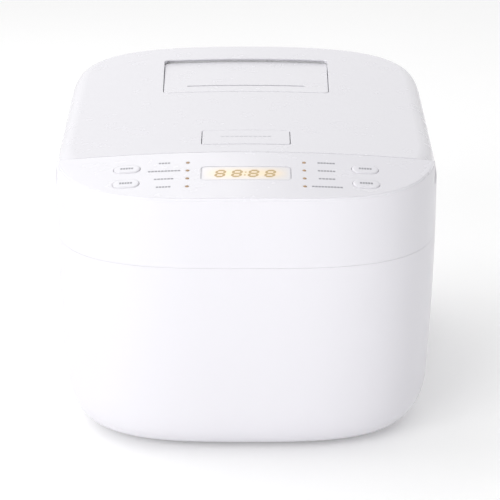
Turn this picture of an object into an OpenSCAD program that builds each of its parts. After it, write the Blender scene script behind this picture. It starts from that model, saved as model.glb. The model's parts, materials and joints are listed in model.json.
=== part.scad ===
// Rice cooker with a hinged lid, a removable steam vent, an inner pot and a front key panel.
// Millimetres. The front faces -Y, +Z is up, and the origin is on the ground under the middle.

/* [Body] */
// Width of the casing, side to side
body_w = 280; // [276:1:284]
// Depth of the casing, front to back
body_d = 350; // [348:1:353]
// Height to the middle of the crowned top
body_h = 214; // [213:0.5:216]
// Fall of the crowned top from the middle to the sides
crown = 7; // [6:0.5:8]
// Squareness of the plan outline, where 2 is an ellipse
squareness = 3.2; // [3.1:0.05:3.3]
// Squareness of the plan outline at the rear
rear_squareness = 4.2; // [4:0.1:4.3]
// Inward lean of the sides at the base
side_lean = 6.5; // [5:0.5:8]
// Height of the rounded bottom edge
base_round_h = 32; // [28:1:34]
// Reach of the rounded bottom edge
base_round = 20; // [18:1:22]
// Thickness of the casing walls
wall = 2.6; // [2.4:0.1:2.8]
// Height of the seam between the two casings
seam_z = 149; // [146:1:152]
// Height of the rubber feet
foot_h = 4; // [3:0.5:4]

/* [Lid] */
// Front edge of the lid
lid_front = -110.2; // [-110.5:0.1:-110]
// Step from the casing's side to the lid's side
lid_step = 2; // [1.8:0.1:2.2]
// Radius of the lid's rounded top edge
lid_edge_r = 12; // [11.5:0.5:12.5]
// Height of the hinge axis
hinge_z = 198; // [197.8:0.1:198.2]
// Width of the steam vent cover
vent_w = 129.5; // [120:0.5:132]
// Width of the release button
button_w = 64; // [56:1:68]

/* [Inner pot] */
// Outer radius of the pot
pot_r = 110; // [106:0.5:110]
// Radius of the pot's rim
pot_rim_r = 118; // [117:0.5:118]
// Thickness of the pot
pot_t = 2.2; // [1.8:0.1:2.6]

/* [Key panel] */
// Slope of the panel down to the front, in degrees
panel_tilt = 11; // [10:0.5:12]
// Thickness of the panel skin
panel_t = 2.2; // [2:0.1:2.4]
// Length of a key
key_l = 19; // [17:0.5:21]
// Width of a key
key_w = 11; // [9:0.5:12]

/* [Hidden] */
$fn = 48;
half_w = body_w / 2;
front_reach = 122;
rear_reach = 121;
front_c = front_reach - body_d / 2;
rear_c = body_d / 2 - rear_reach;
quarter_steps = 10;
lean_top = 165;
eps = 0.01;
clear = 0.3;

rim_z = 188;
deck_z = 186;
deck_t = 2.4;
lid_z = rim_z + clear;
lid_wall = 2.5;
hinge_inset = 18;
hinge_y = body_d / 2 - hinge_inset;
panel_back = lid_front - 0.6;

pot_y = 20;
pot_bottom = 44;
pot_top = 180;
well_r = 115.5;
well_t = 1.5;
collar_r = 119.5;
collar_t = 2;
flange_z = 178.1;
floor_z = 31;
plate_top = pot_bottom - clear;
plate_bottom = 37;

latch_y = -101;
latch_z = 203;
latch_pin_r = 1.5;
button_front = -92;
button_back = -65;
button_axis_y = -62;
button_axis_z = 206;
button_pin_r = 1.4;
vent_front = 37.5;
vent_back = 127.5;
vent_sink = 3.4;
vent_mid = (vent_front + vent_back) / 2;
steam_y = 78;
vent_floor = 198;
vent_t = 2.4;

board_y = -131.6;
display_y = -140.5;
display_w = 63.5;
display_l = 19;
led_x = 41.3;
led_rows = [-124.8, -135.7, -146.6, -157.5];
key_x = 84.5;
key_rows = [-131, -151];
key_rise = 1;
foot_spots = [[-82, -95], [82, -95], [-82, 100], [82, 100]];
base_screw_spots = [[-100, -70], [100, -70], [-100, 80], [100, 80]];
lid_screw_spots = [[-95, -88], [95, -88], [-118, 10], [118, 10], [-84, 112], [84, 112]];
both = [-1, 1];
drip_shelf_z = 59.2;
hinge_screw_x = [53.5, 72];
hinge_screw_y = 134.1;

// ---------- Outline and heights ----------

function signed_power(v, p) = sign(v) * pow(abs(v), p);

function half_outline(d, start, centre, reach, q) = [
  for (i = [0:2 * quarter_steps])
    let (t = start + i * 90 / quarter_steps)
      [(half_w - d) * signed_power(cos(t), 2 / q),
       centre + (reach - d) * signed_power(sin(t), 2 / q)]];

// The plan outline, moved inward by d
function outline(d) = concat(half_outline(d, 0, rear_c, rear_reach, rear_squareness),
  half_outline(d, 180, front_c, front_reach, squareness));

function crown_z(x) = body_h - crown * pow(x / half_w, 2);

function panel_z(x, y) = crown_z(x) - (lid_front - y) * tan(panel_tilt);

function crown_lean(x) = atan(2 * crown * x / pow(half_w, 2));

function round_part(z) = z >= foot_h + base_round_h ? 0
  : base_round * (1 - sqrt(1 - pow((foot_h + base_round_h - z) / base_round_h, 2)));

function lean_part(z) = side_lean * pow(max(0, lean_top - z) / lean_top, 2);

// How far the casing's outer face lies inside the plan outline at height z
function casing_inset(z) = lean_part(z) + round_part(z);

// Where the casing's front face stands at x, moved inward by d
function front_y(x, d) = front_c - (front_reach - d)
  * pow(1 - pow(abs(x) / (half_w - d), squareness), 1 / squareness);

function flat_ring(z, d) = [for (p = outline(d)) [p[0], p[1], z]];

function crown_ring(d, drop) = [for (p = outline(d)) [p[0], p[1], crown_z(p[0]) - drop]];

function panel_ring(d, drop) = [for (p = outline(d)) [p[0], p[1], panel_z(p[0], p[1]) - drop]];

// ---------- Building blocks ----------

// A closed solid through rings of the plan outline, from the lowest to the highest
module ring_solid(rings) {
  n = len(rings[0]);
  last = len(rings) - 1;
  sides = [for (i = [0:last - 1], k = [0:n - 1], second = [false, true])
    let (a = i * n + k, b = i * n + (k + 1) % n)
      second ? [a, b + n, b] : [a, a + n, b + n]];
  base = [for (k = [0:n / 2 - 2]) [k, k + 1, n - 2 - k, n - 1 - k]];
  top = [for (q = base) [for (i = [3:-1:0]) q[i] + last * n]];
  polyhedron(concat([for (r = rings) for (p = r) p]), concat(sides, base, top));
}

// The filled casing between two heights, moved inward by d
module casing_block(z0, z1, d, steps) {
  ring_solid([for (i = [0:steps])
    let (z = z0 + (z1 - z0) * i / steps)
      flat_ring(z, casing_inset(z) + d)]);
}

// The filled lid: straight sides, a rounded edge and the crowned top
module lid_block(z0, d, drop) {
  r = lid_edge_r - drop;
  ring_solid(concat([flat_ring(z0, lid_step + d)], [for (a = [0:15:90])
    crown_ring(lid_step + d + r * (1 - cos(a)), drop + r * (1 - sin(a)))]));
}

// The filled crescent under the panel's face
module panel_block(z0, d, drop, back) {
  intersection() {
    ring_solid([flat_ring(z0, d), panel_ring(d, drop)]);
    translate([-body_w, -body_d, 0]) cube([2 * body_w, body_d + back, 2 * body_h]);
  }
}

module rounded_block(w, l, h, r) {
  hull()
    for (x = [-1, 1], y = [-1, 1])
      translate([x * (w / 2 - r), y * (l / 2 - r), 0]) cylinder(r = r, h = h, $fn = r > 2 ? 32 : 12);
}

// A slab whose top follows the crown and falls by drop0 at y0 to drop1 at y1
module crowned_slab(w, y0, y1, drop0, drop1, t) {
  steps = 12;
  points = [for (i = [0:steps])
    let (x = w * (i / steps - 0.5), z = crown_z(x))
      for (p = [[y0, -drop0], [y1, -drop1], [y1, -drop1 - t], [y0, -drop0 - t]])
        [x, p[0], z + p[1]]];
  sides = [for (i = [0:steps - 1], k = [0:3])
    let (a = 4 * i + k, b = 4 * i + (k + 1) % 4)
      [a, b, b + 4, a + 4]];
  polyhedron(points, concat(sides, [[3, 2, 1, 0]], [[for (k = [0:3]) 4 * steps + k]]));
}

// Places children on the panel's face, with +Z out of the panel
module on_panel(x, y) {
  translate([x, y, panel_z(x, y)]) rotate([panel_tilt, 0, 0]) rotate([0, crown_lean(x), 0])
    children();
}

module tube(outer_r, inner_r, h) {
  rotate_extrude()
    polygon([[inner_r, 0], [outer_r, 0], [outer_r, h], [inner_r, h]]);
}

module along_x(x, y, z) {
  translate([x, y, z]) rotate([0, 90, 0]) children();
}

function unit(v) = v / norm(v);

// A route with each bend rounded off over the distance d
function rounded_route(route, d) = concat([route[0]],
  [for (i = [1:len(route) - 2])
    let (p = route[i], a = p + d * unit(route[i - 1] - p), b = p + d * unit(route[i + 1] - p))
      each [a, (a + 2 * p + b) / 4, b]],
  [route[len(route) - 1]]);

// A wire of radius r along a route that nowhere runs along X
module wire(route, r) {
  n = 8;
  last = len(route) - 1;
  points = [for (i = [0:last])
    let (t = unit(route[min(i + 1, last)] - route[max(i - 1, 0)]), u = unit(cross(t, [1, 0, 0])),
      v = cross(t, u))
      for (k = [0:n - 1])
        route[i] + r * (cos(360 * k / n) * u + sin(360 * k / n) * v)];
  skin = [for (i = [0:last - 1], k = [0:n - 1])
    let (a = i * n + k, b = i * n + (k + 1) % n)
      [a, a + n, b + n, b]];
  polyhedron(points, concat(skin, [[for (k = [0:n - 1]) k]],
    [[for (k = [n - 1:-1:0]) last * n + k]]), convexity = 8);
}

// A coil spring that stands on z = 0
module coil_spring(r, wire_r, turns, h) {
  per_turn = 10;
  sides = 5;
  count = per_turn * turns;
  rise = (h - 2 * wire_r) / count;
  points = [for (i = [0:count], k = [0:sides - 1])
    let (t = 360 * i / per_turn, a = 360 * k / sides, q = r + wire_r * cos(a))
      [q * cos(t), q * sin(t), wire_r + i * rise + wire_r * sin(a)]];
  skin = [for (i = [0:count - 1], k = [0:sides - 1])
    let (a = i * sides + k, b = i * sides + (k + 1) % sides)
      [a, b, b + sides, a + sides]];
  polyhedron(points, concat(skin, [[for (k = [sides - 1:-1:0]) k]],
    [[for (k = [0:sides - 1]) count * sides + k]]), convexity = 8);
}

module screw(head_r, head_h, shank_r, shank_l) {
  cylinder(r = head_r, h = head_h);
  translate([0, 0, head_h - eps]) cylinder(r = shank_r, h = shank_l + eps);
}

// ---------- Casing ----------

module lower_shell() {
  boss_r = 5;
  color("white") difference() {
    union() {
      difference() {
        union() {
          casing_block(foot_h + base_round_h, seam_z, 0, 3);
          ring_solid([for (a = [0:15:90])
            let (z = foot_h + base_round_h * (1 - cos(a)))
              flat_ring(z, casing_inset(z))]);
        }
        ring_solid(concat([flat_ring(foot_h - 1, base_round + side_lean + 4.5)],
          [for (a = [0:18:90])
            let (z = foot_h + base_round_h * (1 - cos(a)))
              flat_ring(z + wall, casing_inset(z) + wall)],
          [for (z = [90, seam_z + 1]) flat_ring(z, casing_inset(z) + wall)]));
      }
      for (p = base_screw_spots) {
        translate([p[0], p[1], foot_h + 2.6]) cylinder(r = boss_r, h = 16, $fn = 24);
        hull() {
          translate([p[0], p[1], foot_h + 6]) cylinder(r = 3, h = 12, $fn = 16);
          translate([p[0] + sign(p[0]) * 23, p[1], foot_h + 10]) cylinder(r = 1.2, h = 8, $fn = 16);
        }
      }
      for (x = [-60, 60], z = [58, 117])
        translate([x, board_y, z]) rotate([90, 0, 0])
          cylinder(r = 4, h = board_y - front_y(x + 4, casing_inset(z - 4) + wall / 2), $fn = 24);
      translate([-24, 158, drip_shelf_z]) cube([48, 12.5, 2]);
    }
    for (p = base_screw_spots)
      translate([p[0], p[1], 0]) cylinder(r = 1.8, h = 20, $fn = 24);
    translate([-16, 120, 33.5]) cube([32, 70, 23]);
    for (x = [-62:12:-38], side = [-1, 1])
      hull()
        for (z = [50, 70])
          translate([side * x, 190, z]) rotate([90, 0, 0]) cylinder(r = 1.6, h = 40, $fn = 12);
  }
}

function lid_rear_y(x) = rear_c + (rear_reach - lid_step)
  * pow(1 - pow(abs(x) / (half_w - lid_step), rear_squareness), 1 / rear_squareness);

// Half the width of the lid's rear edge that lies behind the hinge axis
swing_reach = (half_w - lid_step) * pow(
  1 - pow((hinge_y - rear_c) / (rear_reach - lid_step), rear_squareness), 1 / rear_squareness);

// How far the lid's rear edge reaches from the hinge axis as it swings down
function swing_r(x) = norm([max(0, lid_rear_y(x) - hinge_y), hinge_z - lid_z]) + 0.45;

// The room that the lid's rear edge swings through, grown by t
module swing_room(t) {
  reach = swing_reach;
  steps = 12;
  along_x(0, hinge_y, hinge_z)
    rotate_extrude($fn = 36)
      polygon(concat([[0, -reach - t]], [for (i = [0:steps])
        let (x = reach * (2 * i / steps - 1))
          [swing_r(x) + t, x * (reach + t) / reach]], [[0, reach + t]]));
}

module upper_shell() {
  tongue_z = seam_z - 6;
  post_r = 3.5;
  color("white") difference() {
    union() {
      difference() {
        union() {
          casing_block(seam_z + 0.5, rim_z, 0, 2);
          panel_block(rim_z - 10, 0, panel_t, panel_back);
        }
        casing_block(seam_z - 1, deck_z - deck_t, wall, 2);
        difference() {
          casing_block(deck_z, rim_z + 1, wall, 1);
          translate([-body_w, -body_d, 0]) cube([2 * body_w, body_d + panel_back, 2 * body_h]);
        }
        panel_block(deck_z - deck_t - 1, wall, -20, panel_back - wall);
      }
      difference() {
        ring_solid([flat_ring(tongue_z, wall + 0.4), flat_ring(seam_z + 0.5, wall + 0.4),
          flat_ring(seam_z + 1, wall - 0.2), flat_ring(seam_z + 4, wall - 0.2)]);
        ring_solid([flat_ring(tongue_z - 1, wall + 2), flat_ring(seam_z + 5, wall + 2)]);
      }
      translate([0, pot_y, flange_z]) cylinder(r = collar_r + collar_t, h = deck_z - flange_z - 1);
      for (a = [45:90:315])
        rotate_about_pot(a) {
          translate([124, 0, flange_z]) cylinder(r = post_r, h = deck_z - flange_z - 1, $fn = 24);
          hull() {
            translate([124, 0, flange_z + 2]) cylinder(r = 1, h = 5, $fn = 16);
            translate([119, 0, flange_z + 2]) cylinder(r = 1, h = 5, $fn = 16);
          }
        }
      for (x = [-104, -52, 52, 104])
        hull() {
          translate([x, -124, 172]) cylinder(r = 2.5, h = panel_z(x, -124) - 172 - panel_t - 10, $fn = 16);
          translate([x, -112, 184]) cylinder(r = 1, h = 10, $fn = 16);
        }
      intersection() {
        swing_room(2);
        casing_block(170, rim_z, 1, 1);
      }
    }
    translate([0, pot_y, 0]) cylinder(r = collar_r, h = 2 * body_h, $fn = 72);
    swing_room(0);
    translate([-14, panel_back + eps, 170]) cube([28, 14, 60]);
    for (a = [45:90:315])
      rotate_about_pot(a) translate([124, 0, 170]) cylinder(r = 1.7, h = 14, $fn = 24);
    for (s = both, x = hinge_screw_x)
      translate([s * x, hinge_screw_y, 180]) cylinder(r = 1.7, h = 8, $fn = 24);
  }
}

module rotate_about_pot(a) {
  translate([0, pot_y, 0]) rotate([0, 0, a]) children();
}

module base_cover() {
  color("whitesmoke") difference() {
    translate([0, 0, foot_h]) linear_extrude(2.4) polygon(outline(base_round + side_lean + 5));
    for (p = base_screw_spots)
      translate([p[0], p[1], 0]) cylinder(r = 1.8, h = 20);
    for (x = [-40:16:40], y = [-40, 80])
      translate([x - 2, y - 15, 0]) cube([4, 30, 20]);
  }
}

module rubber_feet() {
  color("dimgray")
    for (p = foot_spots)
      translate([p[0], p[1], 0]) rotate_extrude()
        polygon([[0, 0], [8.5, 0], [9.5, 1], [10, foot_h], [0, foot_h]]);
}

module base_screws() {
  color("silver")
    for (p = base_screw_spots)
      translate([p[0], p[1], foot_h - 1.6]) screw(3.2, 1.6, 1.6, 14);
}

// ---------- Well, heater and sensor ----------

module well_liner() {
  outer = well_r + well_t;
  rim = 122;
  color("lightgray") difference() {
    union() {
      translate([0, pot_y, 0]) rotate_extrude()
        polygon([[24, floor_z], [outer, floor_z], [outer, flange_z - well_t], [rim, flange_z - well_t],
          [rim, flange_z], [well_r, flange_z], [well_r, floor_z + well_t], [24, floor_z + well_t]]);
      for (a = [45:90:315])
        rotate_about_pot(a) translate([124, 0, flange_z - well_t]) cylinder(r = 5, h = well_t);
    }
    for (a = [45:90:315])
      rotate_about_pot(a) translate([124, 0, 170]) cylinder(r = 1.7, h = 14);
    for (x = [-10, 10])
      translate([x, pot_y - 71, floor_z - 1]) cylinder(r = 4, h = 4);
  }
}

module liner_screws() {
  color("silver")
    for (a = [45:90:315])
      rotate_about_pot(a) translate([124, 0, flange_z - well_t - 1.6]) screw(3, 1.6, 1.5, 6);
}

module heating_plate() {
  color("silver") difference() {
    union() {
      translate([0, pot_y, plate_bottom]) tube(88, 19, plate_top - plate_bottom);
      for (a = [30:120:270])
        rotate_about_pot(a) translate([45, 0, floor_z + well_t])
          cylinder(r = 5, h = plate_bottom - floor_z - well_t + 1);
    }
    translate([0, pot_y, plate_bottom]) rotate_extrude()
      translate([72, 0]) circle(r = 3.55);
  }
}

module heater_element() {
  color("dimgray") {
    translate([0, pot_y, plate_bottom]) rotate_extrude()
      translate([72, 0]) circle(r = 3.5);
    for (x = [-10, 10])
      translate([x, pot_y - 71.3, 18]) cylinder(r = 2, h = plate_bottom - 18);
  }
}

module sensor_housing() {
  color("gray") translate([0, pot_y, 0]) rotate_extrude()
    polygon([[6.1, 9], [9, 9], [9, 30], [20, 30], [20, floor_z + well_t], [26, floor_z + well_t],
      [26, 34], [6.1, 34]]);
}

module sensor_cap() {
  color("silver") translate([0, pot_y, 0]) rotate_extrude()
    polygon([[0, 14], [6.05, 14], [6.05, 41.2], [16, 41.2], [16, plate_top - 0.4],
      [15.6, plate_top], [0, plate_top]]);
}

module sensor_spring() {
  color("silver") translate([0, pot_y, 34.2]) coil_spring(8.2, 0.6, 4, 6.8);
}

module thermal_fuse() {
  color("linen") {
    along_x(38, pot_y, 27) cylinder(r = 3, h = 24);
    translate([46, pot_y - 4, 27]) cube([8, 8, floor_z - 27]);
  }
}

module side_heater_band() {
  color("goldenrod") translate([0, pot_y, 95]) tube(well_r + well_t + 1.6, well_r + well_t + 0.2, 34);
}

// ---------- Electrics ----------

module power_board() {
  color("seagreen") difference() {
    translate([-70, board_y, 48]) cube([140, 1.6, 78]);
    for (x = [-60, 60], z = [58, 117])
      translate([x, -120, z]) rotate([90, 0, 0]) cylinder(r = 1.7, h = 20);
  }
}

module relay() {
  color("royalblue") translate([-48, -147.1, 60]) cube([19, 15.5, 20]);
}

module transformer() {
  color("dimgray") difference() {
    translate([-20, -156.6, 64]) cube([40, 25, 34]);
    for (x = [-11, 11])
      translate([x - 4, -160, 72]) cube([8, 40, 18]);
  }
  color("gold")
    for (x = [-1, 1])
      translate([x * 11 - 3, -158.6, 72.2]) cube([6, 26.8, 17.6]);
}

module filter_capacitor() {
  color("navy") translate([42, -143, 60]) cylinder(r = 9, h = 26);
  color("silver") translate([41, -136, 61]) cube([2, 4.4, 2]);
}

module terminal_block() {
  color("whitesmoke") difference() {
    translate([-25, -142.6, 108]) cube([50, 11, 12]);
    for (x = [-18:12:18]) {
      translate([x - 3, -143.6, 111]) cube([6, 8, 6]);
      translate([x, -137, 112]) cylinder(r = 1.7, h = 10);
    }
  }
}

// The three contact blades of the inlet, grown by c
module inlet_blades(c) {
  for (p = [[-7, 46.6], [7, 46.6], [0, 51.4]])
    translate([p[0] - 1 - c, 138, p[1] - 2 - c]) cube([2 + 2 * c, 24, 4 + 2 * c]);
}

module power_inlet() {
  color("black") difference() {
    union() {
      translate([-15, 146, 34.5]) cube([30, 25, 21.5]);
      translate([-22, 164.4, 31.5]) cube([44, 2.4, 27]);
    }
    translate([-12, 149, 36.5]) cube([24, 30, 18]);
    inlet_blades(0.05);
  }
}

module inlet_pins() {
  color("goldenrod") inlet_blades(0);
}

module mains_wires() {
  for (side = both)
    color(side < 0 ? "saddlebrown" : "steelblue")
      wire(rounded_route([[side * 7, 140, 44.5], [side * 8, 140, 20], [side * 34, 118, 18],
        [side * 34, -90, 18], [side * 28, -112, 36], [side * 28, -124, 60], [side * 28, -124, 122],
        [side * 18, -130, 134], [side * 18, -137, 128], [side * 18, -137, 114]], 3.5), 1.4);
}

// ---------- Key panel ----------

// Everything that passes through the panel, grown by c
module panel_openings(c) {
  depth = 14;
  on_panel(0, display_y) translate([0, 0, -depth])
    rounded_block(display_w + 2 * c, display_l + 2 * c, 2 * depth, 3 + c);
  for (x = [-key_x, key_x], y = key_rows)
    on_panel(x, y) translate([0, 0, -depth])
      rounded_block(key_l + 2 * c, key_w + 2 * c, 2 * depth, key_w / 2 - 0.1 + c);
  for (x = [-led_x, led_x], y = led_rows)
    on_panel(x, y) translate([0, 0, -depth])
      rounded_block(2.4 + 2 * c, 2.4 + 2 * c, 2 * depth, 1.1 + c);
}

module control_panel() {
  color("white") difference() {
    intersection() {
      ring_solid([panel_ring(0.1, panel_t), panel_ring(0.1, 0)]);
      translate([-body_w, -body_d, 0]) cube([2 * body_w, body_d + panel_back, 2 * body_h]);
    }
    panel_openings(clear);
  }
}

module panel_frame() {
  inset = wall + clear;
  color("whitesmoke") difference() {
    intersection() {
      ring_solid([panel_ring(inset, panel_t + 2), panel_ring(inset, panel_t + clear)]);
      translate([-body_w, -body_d, 0]) cube([2 * body_w, body_d + panel_back - inset, 2 * body_h]);
    }
    panel_openings(1.2);
  }
}

module control_board() {
  color("seagreen") on_panel(0, display_y) translate([-100, -19, -12]) cube([200, 40, 1.6]);
}

module display_module() {
  color("black") on_panel(0, display_y) translate([-28, -8, -10.4]) cube([56, 16, 7.6]);
}

module display_window() {
  color("white") intersection() {
    on_panel(0, display_y) translate([0, 0, -2.6]) rounded_block(display_w, display_l, 4, 3);
    ring_solid([panel_ring(0.1, 1.6), panel_ring(0.1, 0.1)]);
  }
}

module indicator_leds() {
  color("orange")
    for (x = [-led_x, led_x], y = led_rows)
      on_panel(x, y) translate([0, 0, -9.4]) cylinder(r = 1.05, h = 9.2, $fn = 24);
}

module tact_switches() {
  color("dimgray")
    for (x = [-key_x, key_x], y = key_rows)
      on_panel(x, y) {
        translate([-3, -3, -7.5]) cube([6, 6, 2.3]);
        translate([0, 0, -5.3]) cylinder(r = 1.6, h = 0.9);
      }
}

module panel_key(side, row) {
  color("white") on_panel(side * key_x, key_rows[row]) {
    translate([0, 0, -3]) rounded_block(key_l, key_w, 3 + key_rise, key_w / 2 - 0.1);
    translate([0, 0, -3]) cylinder(r = 2.4, h = 3);
    translate([0, 0, -3.4]) cylinder(r = 1.8, h = 1);
  }
}

// ---------- Hinge and catch ----------

module hinge_brackets() {
  pin_boss_r = 6.5;
  base_y = 129.5;
  color("silver")
    for (s = both) {
      difference() {
        union() {
          translate([s * 63 - 13, base_y, deck_z]) cube([26, 9.2, 1.6]);
          along_x(s * 61.5 - 2.5, hinge_y, hinge_z) cylinder(r = pin_boss_r, h = 5);
          translate([s * 61.5 - 2.5, 0, 0]) rotate([90, 0, 90]) linear_extrude(5)
            polygon([[134, deck_z], [138.7, deck_z], [138.7, 193], [hinge_y, 193],
              [hinge_y, 204], [142, 204], [134, 196.5]]);
        }
        along_x(s * 61.5 - 5, hinge_y, hinge_z) cylinder(r = 3, h = 10);
        for (x = hinge_screw_x)
          translate([s * x, hinge_screw_y, deck_z - 1]) cylinder(r = 1.7, h = 5);
      }
    }
}

module hinge_pins() {
  color("lightgray")
    for (s = both)
      along_x(s * 43 - 22, hinge_y, hinge_z) cylinder(r = 3, h = 44);
}

module hinge_screws() {
  color("gray")
    for (s = both, x = hinge_screw_x)
      translate([s * x, hinge_screw_y, deck_z + 2.2]) mirror([0, 0, 1]) screw(3, 0.6, 1.6, 5);
}

module lid_springs() {
  color("gray")
    for (s = both)
      along_x(s * 31 - 8, hinge_y, hinge_z) coil_spring(4.6, 0.7, 7, 16);
}

module catch_plate() {
  color("silver") translate([-22, -102.3, deck_z]) cube([44, 2.6, 1.8]);
  color("silver") translate([-13.5, -102.3, 183.6]) cube([27, 2.6, deck_z - 183.6 + eps]);
}

// ---------- Inner pot ----------

module inner_pot() {
  corner = 20;
  inner = corner - pot_t;
  centre_z = pot_bottom + corner;
  outer_arc = [for (a = [-90:10:0])
    [pot_r - corner + corner * cos(a), centre_z + corner * sin(a)]];
  inner_arc = [for (a = [0:-10:-90])
    [pot_r - corner + inner * cos(a), centre_z + inner * sin(a)]];
  rim_t = 1.6;
  color("dimgray") translate([0, pot_y, 0]) rotate_extrude($fn = 96)
    polygon(concat([[0, pot_bottom]], outer_arc,
      [[pot_r, pot_top - rim_t], [pot_rim_r, pot_top - rim_t], [pot_rim_r, pot_top],
       [pot_r - pot_t, pot_top]], inner_arc, [[0, pot_bottom + pot_t]]));
}

// ---------- Lid ----------

// The lid's space in front of its rear edge
module lid_front_cut(y, z0) {
  translate([-body_w, y, z0]) cube([2 * body_w, 2 * body_d, body_h]);
}

module lid_cover() {
  boss_z = 191;
  color("white") difference() {
    union() {
      difference() {
        intersection() {
          lid_block(lid_z, 0, 0);
          lid_front_cut(lid_front, 0);
        }
        intersection() {
          lid_block(lid_z - 1, lid_wall, lid_wall);
          lid_front_cut(lid_front + lid_wall, 0);
        }
      }
      for (p = lid_screw_spots) {
        top = crown_z(p[0]) - boss_z - 1;
        translate([p[0], p[1], boss_z]) cylinder(r = 4, h = top, $fn = 24);
        hull() {
          translate([p[0], p[1], boss_z + 6]) cylinder(r = 1, h = top - 6, $fn = 16);
          translate([p[0] * 0.9, p[1] * 0.9, crown_z(p[0]) - 3]) cylinder(r = 1, h = 1, $fn = 16);
        }
      }
    }
    for (p = lid_screw_spots)
      translate([p[0], p[1], boss_z - 1]) cylinder(r = 1.6, h = 9, $fn = 24);
    translate([0, vent_mid + 1, 190])
      rounded_block(vent_w + 1.6, vent_back - vent_front + 3.6, 60, 5);
    translate([0, (button_front + button_back) / 2 - 0.2, 190])
      rounded_block(button_w + 1.6, button_back - button_front + 1.4, 60, 3);
  }
}

module lid_inner_shell() {
  plate_z = 188.6;
  plate_t = 2;
  inset = lid_step + lid_wall + clear;
  barrel_r = 6.5;
  barrel_l = 18;
  color("whitesmoke") difference() {
    union() {
      intersection() {
        translate([0, 0, plate_z]) linear_extrude(plate_t) polygon(outline(inset));
        lid_front_cut(lid_front + lid_wall + clear, 0);
      }
      for (s = both)
        translate([s * 28.7 - 1.5, button_axis_y - 3, plate_z + 1])
          cube([3, 6, button_axis_z - plate_z + 2]);
      for (s = both) {
        along_x(s * 49 - barrel_l / 2, hinge_y, hinge_z) cylinder(r = barrel_r, h = barrel_l);
        translate([s * 49 - barrel_l / 2, hinge_y - 5, plate_z + 1])
          cube([barrel_l, 10, hinge_z - plate_z - 4]);
      }
    }
    for (s = both) {
      along_x(s * 49 - barrel_l, hinge_y, hinge_z) cylinder(r = 3.05, h = 2 * barrel_l);
      translate([s * 61.5 - 3.3, 132, plate_z - 1]) cube([6.6, 31, 5]);
    }
    along_x(-40, button_axis_y, button_axis_z) cylinder(r = button_pin_r + 0.05, h = 80);
    translate([0, steam_y, 180]) cylinder(r = 11.4, h = 20);
    translate([-13, lid_front, 180]) cube([26, 13, 20]);
    for (p = lid_screw_spots)
      translate([p[0], p[1], 180]) cylinder(r = 1.7, h = 20);
  }
}

module lid_screws() {
  color("silver")
    for (p = lid_screw_spots)
      translate([p[0], p[1], 188.4]) cylinder(r = 1.5, h = 9);
}

module lid_plate() {
  color("silver") difference() {
    translate([0, pot_y, 186.6]) cylinder(r = 106, h = 0.8);
    translate([0, pot_y, 180]) cylinder(r = 5, h = 20);
    translate([0, steam_y, 180]) cylinder(r = 11.4, h = 20);
    translate([-40, pot_y, 180]) cylinder(r = 5.4, h = 20);
  }
}

module lid_heater() {
  color("darkorange") difference() {
    translate([0, pot_y, 187.5]) tube(98, 74, 0.9);
    translate([0, steam_y, 180]) cylinder(r = 13, h = 20);
  }
}

module lid_sensor() {
  color("silver") translate([-40, pot_y, 184.4]) cylinder(r = 5, h = 4.1);
}

module inner_lid() {
  color("lightgray") difference() {
    translate([0, pot_y, 0]) rotate_extrude()
      polygon([[4.9, 183], [70, 183], [72, 182], [104, 182], [106, 183], [112, 183], [112, 184.2],
        [105.6, 184.2], [103.6, 183.2], [72.4, 183.2], [70.4, 184.2], [4.9, 184.2]]);
    translate([0, steam_y, 180]) cylinder(r = 7, h = 20);
  }
}

module inner_lid_stud() {
  color("dimgray") translate([0, pot_y, 0]) rotate_extrude()
    polygon([[0, 180.6], [5, 180.6], [7, 181.6], [7, 183], [4.8, 183], [4.8, 188.6], [0, 188.6]]);
}

module sealing_ring() {
  color("gainsboro") translate([0, pot_y, 0]) rotate_extrude($fn = 96)
    polygon([[109, 182], [112.5, 181], [114.5, 180.3], [115, 181], [114.6, 186], [109, 186],
      [109, 184.2], [112, 184.2], [112, 183], [109, 183]]);
}

module vent_well() {
  w = vent_w + 5.2;
  l = vent_back - vent_front + 7.2;
  color("whitesmoke") difference() {
    translate([0, vent_mid + 1, vent_floor - 2]) rounded_block(w, l, 13.2, 6);
    translate([0, vent_mid + 1, vent_floor]) rounded_block(w - 3.6, l - 3.6, 30, 5);
    translate([0, steam_y, 190]) cylinder(r = 7, h = 20);
  }
}

module vent_grommet() {
  color("gainsboro") translate([0, steam_y, 0]) rotate_extrude()
    polygon([[7.4, 184.4], [12, 184.4], [12, 186], [11, 186.4], [11, 195.9], [7.4, 195.9]]);
}

module latch_pin() {
  color("lightgray") along_x(-17, latch_y, latch_z) cylinder(r = latch_pin_r, h = 34);
}

module latch_spring() {
  color("gray") along_x(11.6, latch_y, latch_z) coil_spring(2.6, 0.45, 4, 5);
}

module release_button() {
  color("white") {
    intersection() {
      crowned_slab(button_w, button_front, button_back, 0.05, 0.05, 2.4);
      translate([0, (button_front + button_back) / 2, 190])
        rounded_block(button_w, button_back - button_front, 60, 2.4);
    }
    translate([-7, -88, 205.5]) cube([14, 4, crown_z(7) - 205.5 - 1]);
    for (s = both) {
      translate([s * 24 - 2, 0, 0]) rotate([90, 0, 90]) linear_extrude(4)
        polygon([[-70, button_axis_z - 2], [button_axis_y, button_axis_z - 2],
          [button_axis_y + 2, button_axis_z], [button_axis_y, button_axis_z + 2],
          [-66, button_axis_z + 2], [-66, crown_z(26) - 1], [-70, crown_z(26) - 1]]);
      along_x(s * 28 - 3, button_axis_y, button_axis_z) cylinder(r = button_pin_r, h = 6);
    }
  }
}

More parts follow.
